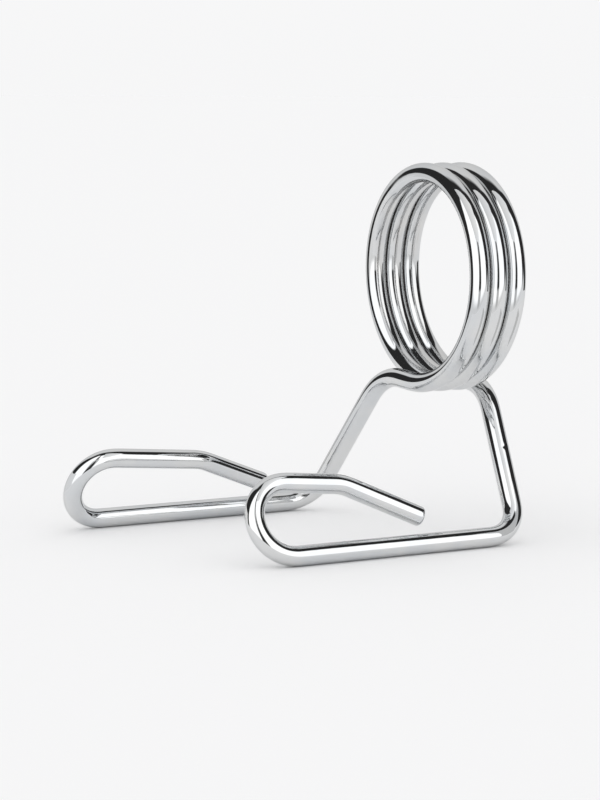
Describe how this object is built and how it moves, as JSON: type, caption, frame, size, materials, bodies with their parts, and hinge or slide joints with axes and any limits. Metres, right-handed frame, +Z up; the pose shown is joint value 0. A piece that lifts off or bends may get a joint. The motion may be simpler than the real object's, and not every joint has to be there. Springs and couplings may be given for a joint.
{
  "type": "barbell collar",
  "caption": "Spring clip collar bent from chromed steel wire: its coil grips a barbell sleeve and opens when the looped handles are squeezed together.",
  "frame": {"origin": "on the bar's axis, at the middle of the coil", "axes": "+X along the bar, away from the handles; +Y towards the far handle, whose wire leaves the coil's handle-side turn; +Z up, as the collar stands on its lower rails"},
  "size_m": [0.1017, 0.0779, 0.0948],
  "materials": {
    "chrome_wire": "bright chromed spring steel wire, smooth and mirror-like, with faint drawing lines and scuffs at the bends"
  },
  "bodies": {
    "coil": {"spring_coil": "chrome_wire"},
    "near_handle": {"near_handle": "chrome_wire"},
    "far_handle": {"far_handle": "chrome_wire"}
  },
  "joints": [
    {"name": "squeeze", "type": "hinge", "parent": "coil", "child": "near_handle", "pos_m": [0, 0, 0], "axis": [1, 0, 0], "range_deg": [0, 27], "stiffness_Nm_per_rad": 24, "deforming": ["spring_coil"]},
    {"name": "far_squeeze", "type": "hinge", "parent": "coil", "child": "far_handle", "pos_m": [0, 0, 0], "axis": [-1, 0, 0], "range_deg": [0, 27], "stiffness_Nm_per_rad": 24, "deforming": ["spring_coil"]}
  ],
  "couplings": [
    {"joint": "far_squeeze", "follows": "squeeze", "ratio": 1}
  ]
}
